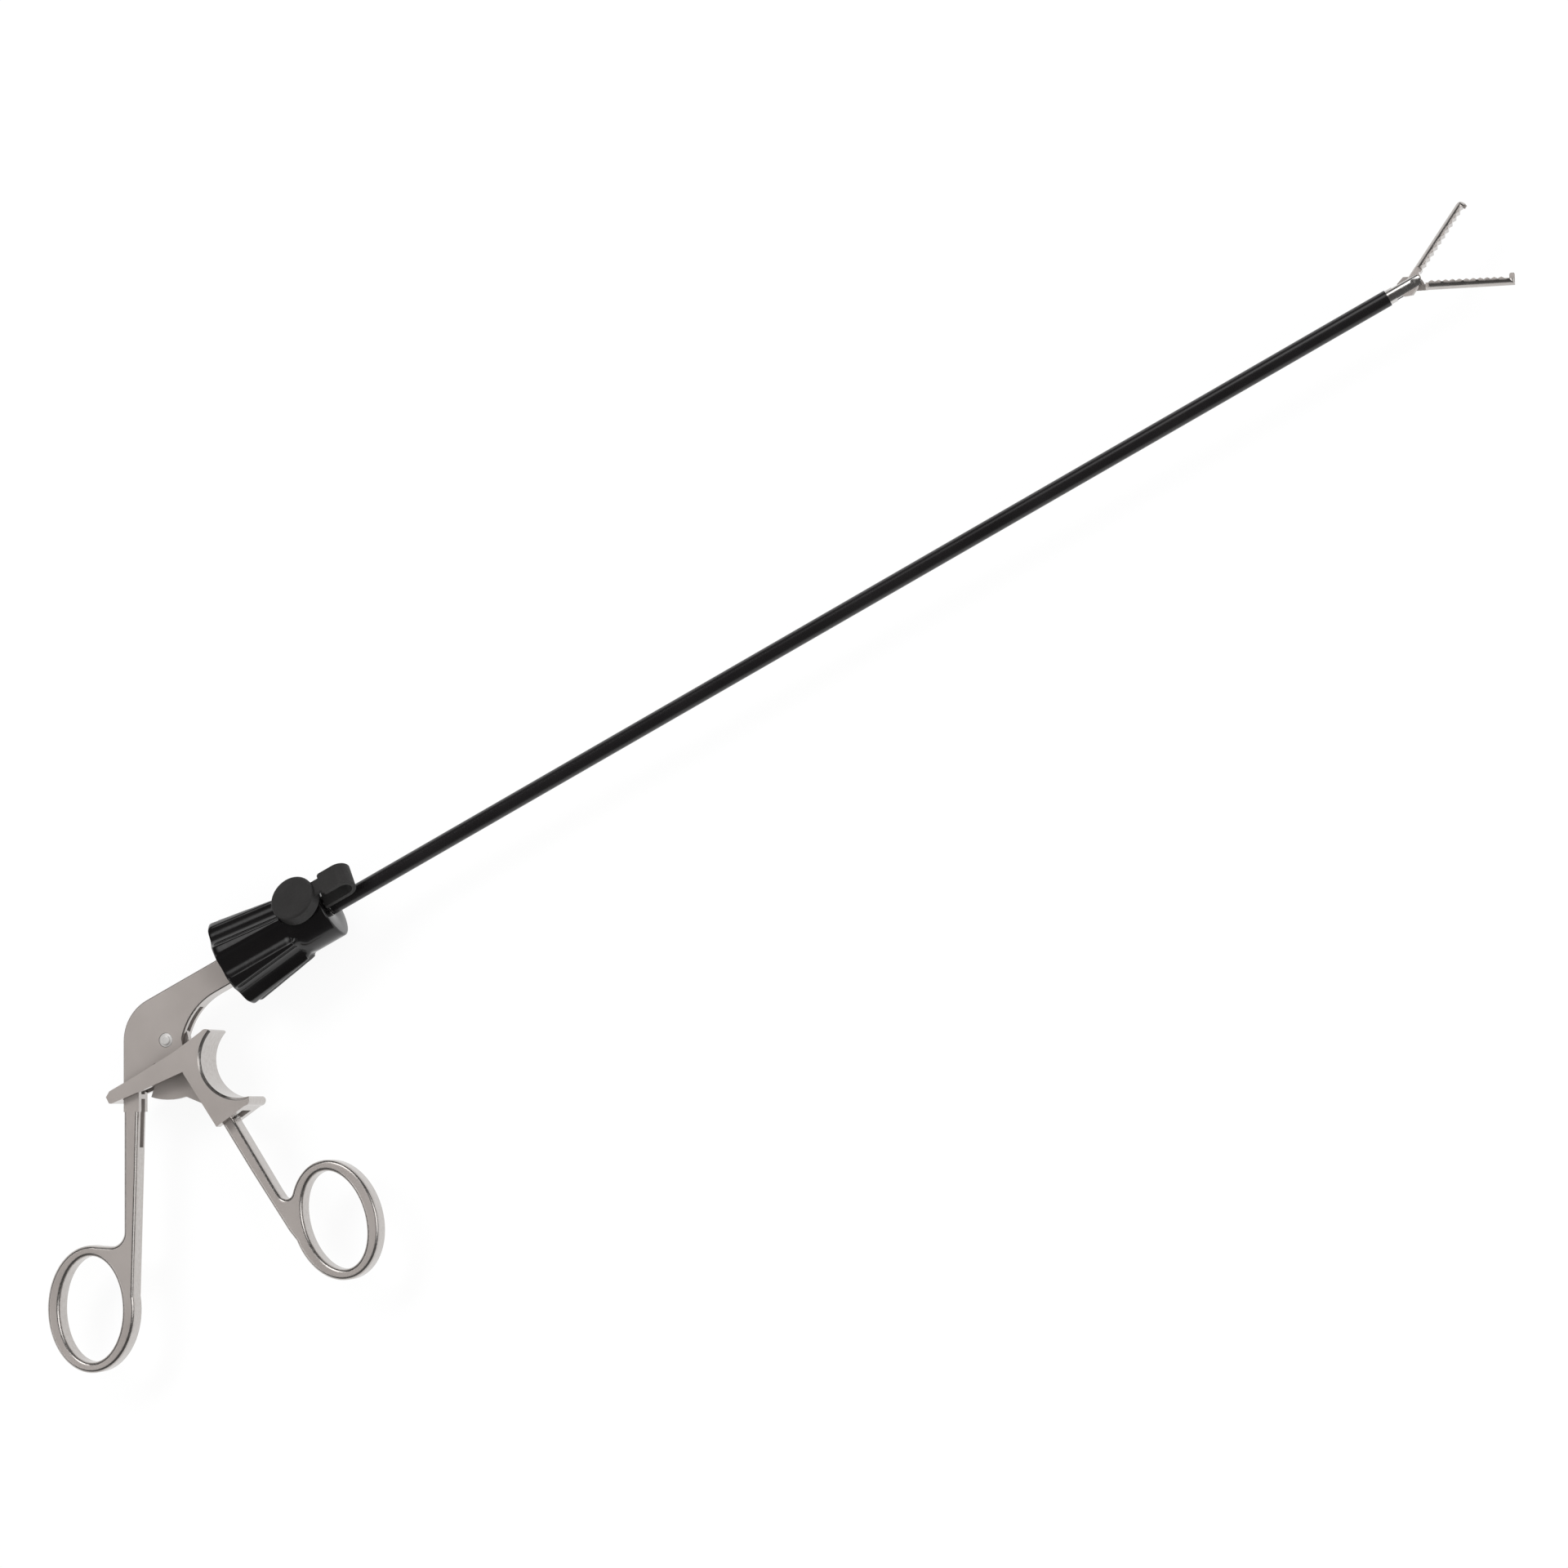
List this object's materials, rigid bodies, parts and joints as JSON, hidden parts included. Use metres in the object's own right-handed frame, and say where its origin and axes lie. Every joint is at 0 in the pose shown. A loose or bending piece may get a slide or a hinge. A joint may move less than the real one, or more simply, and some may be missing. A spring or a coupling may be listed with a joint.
{
  "type": "object",
  "caption": "Reusable laparoscopic grasper: steel ring handle with ratchet lever, fluted black rotation knob with flush port, insulated shaft and double-action toothed jaws.",
  "frame": {"origin": "on the shaft's axis where the shaft leaves the knob's front face", "axes": "+X runs along the shaft to the jaws, +Y points away from the finger rings, +Z is square to the flat handle, towards the capped side"},
  "size_m": [0.5454, 0.1191, 0.0304],
  "materials": {
    "satin_steel": "satin stainless steel, fine brushed grain, warm grey",
    "polished_steel": "polished stainless steel with soft glints",
    "black_plastic": "black moulded plastic with a soft gloss",
    "insulation": "black insulation with a low sheen",
    "grey_silicone": "dark grey silicone, matt",
    "black_rubber": "black rubber"
  },
  "bodies": {
    "handle": {"rear_handle": "satin_steel", "pivot_screw": "polished_steel", "pivot_nut": "polished_steel", "neck_spigot": "polished_steel", "spigot_pin": "polished_steel", "neck_seal": "black_rubber", "rod_seal": "black_rubber"},
    "finger_handle": {"front_handle": "satin_steel", "lever_pin": "polished_steel", "lever_spring": "polished_steel", "lever_spring_screw": "polished_steel"},
    "lever": {"ratchet_lever": "satin_steel"},
    "rotating_shaft": {"rotation_knob": "black_plastic", "knob_core": "satin_steel", "core_screws": "polished_steel", "knob_ring_nut": "polished_steel", "friction_washer": "black_rubber", "flush_port": "polished_steel", "cap_strap": "grey_silicone", "shaft_tube": "polished_steel", "insulation_sleeve": "insulation", "clevis": "polished_steel", "jaw_pivots": "polished_steel"},
    "cap": {"port_cap": "grey_silicone"},
    "rod": {"drive_rod": "polished_steel", "ball_end": "polished_steel", "cam_plate": "polished_steel", "cam_rivet": "polished_steel"},
    "jaw_upper": {"upper_jaw": "satin_steel"},
    "jaw_lower": {"lower_jaw": "satin_steel"}
  },
  "joints": [
    {"name": "front_handle_close", "type": "hinge", "parent": "handle", "child": "finger_handle", "pos_m": [-0.0658, -0.0111, 0], "axis": [0, 0, -1], "range_deg": [0, 25]},
    {"name": "ratchet_engage", "type": "hinge", "parent": "finger_handle", "child": "lever", "pos_m": [-0.0602, -0.0205, 0], "axis": [0, 0, -1], "range_deg": [0, 5], "stiffness_Nm_per_rad": 0.05, "deforming": ["lever_spring"]},
    {"name": "knob_turn", "type": "hinge", "parent": "handle", "child": "rotating_shaft", "pos_m": [-0.03, 0, 0], "axis": [1, 0, 0], "continuous": true},
    {"name": "cap_pull", "type": "slide", "parent": "rotating_shaft", "child": "cap", "axis": [0, 0.4226, 0.9063], "range_m": [0, 0.006], "deforming": ["cap_strap"]},
    {"name": "rod_push", "type": "slide", "parent": "rotating_shaft", "child": "rod", "axis": [1, 0, 0], "range_m": [0, 0.00492]},
    {"name": "upper_jaw_close", "type": "hinge", "parent": "rotating_shaft", "child": "jaw_upper", "pos_m": [0.3774, 0, 0], "axis": [0, 0, -1], "range_deg": [0, 28]},
    {"name": "lower_jaw_close", "type": "hinge", "parent": "rotating_shaft", "child": "jaw_lower", "pos_m": [0.3774, 0, 0], "axis": [0, 0, 1], "range_deg": [0, 28]}
  ],
  "couplings": [
    {"joint": "rod_push", "follows": "front_handle_close", "m_per_rad": 0.01128},
    {"joint": "upper_jaw_close", "follows": "front_handle_close", "ratio": 1.12},
    {"joint": "lower_jaw_close", "follows": "front_handle_close", "ratio": 1.12}
  ]
}
